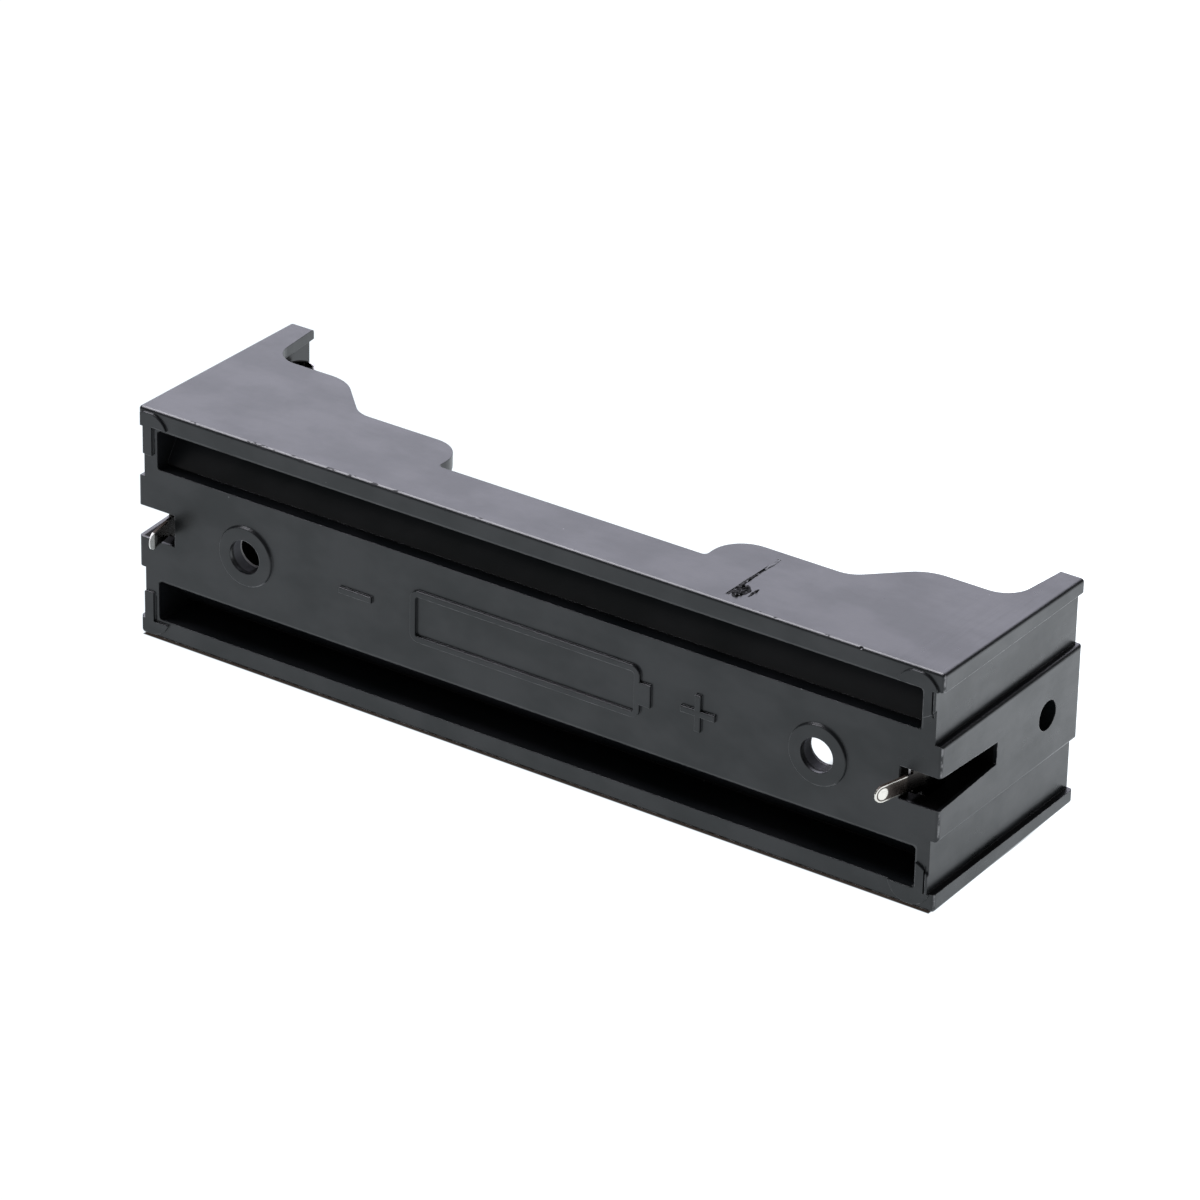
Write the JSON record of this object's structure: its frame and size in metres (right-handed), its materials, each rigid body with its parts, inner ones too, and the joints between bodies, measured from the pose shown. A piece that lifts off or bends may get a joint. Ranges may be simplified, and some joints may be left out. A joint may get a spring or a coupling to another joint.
{
  "type": "cylindrical cell holder",
  "caption": "Open cradle for one cylindrical cell, with a folded spring contact at each end whose blade leg solders into a circuit board.",
  "frame": {"origin": "centre of the flat board face, between the two screw holes", "axes": "+X along the cell towards the positive end, -Y out of the board face along the blade legs, +Y out of the open mouth, +Z across the holder; it lies on its long side wall"},
  "size_m": [0.0766, 0.0236, 0.0206],
  "materials": {
    "black_moulding": "satin black moulded plastic",
    "plated_spring_strip": "bright plated spring strip"
  },
  "bodies": {
    "root": {"holder_body": "black_moulding", "positive_contact": "plated_spring_strip", "negative_contact": "plated_spring_strip"}
  },
  "joints": []
}
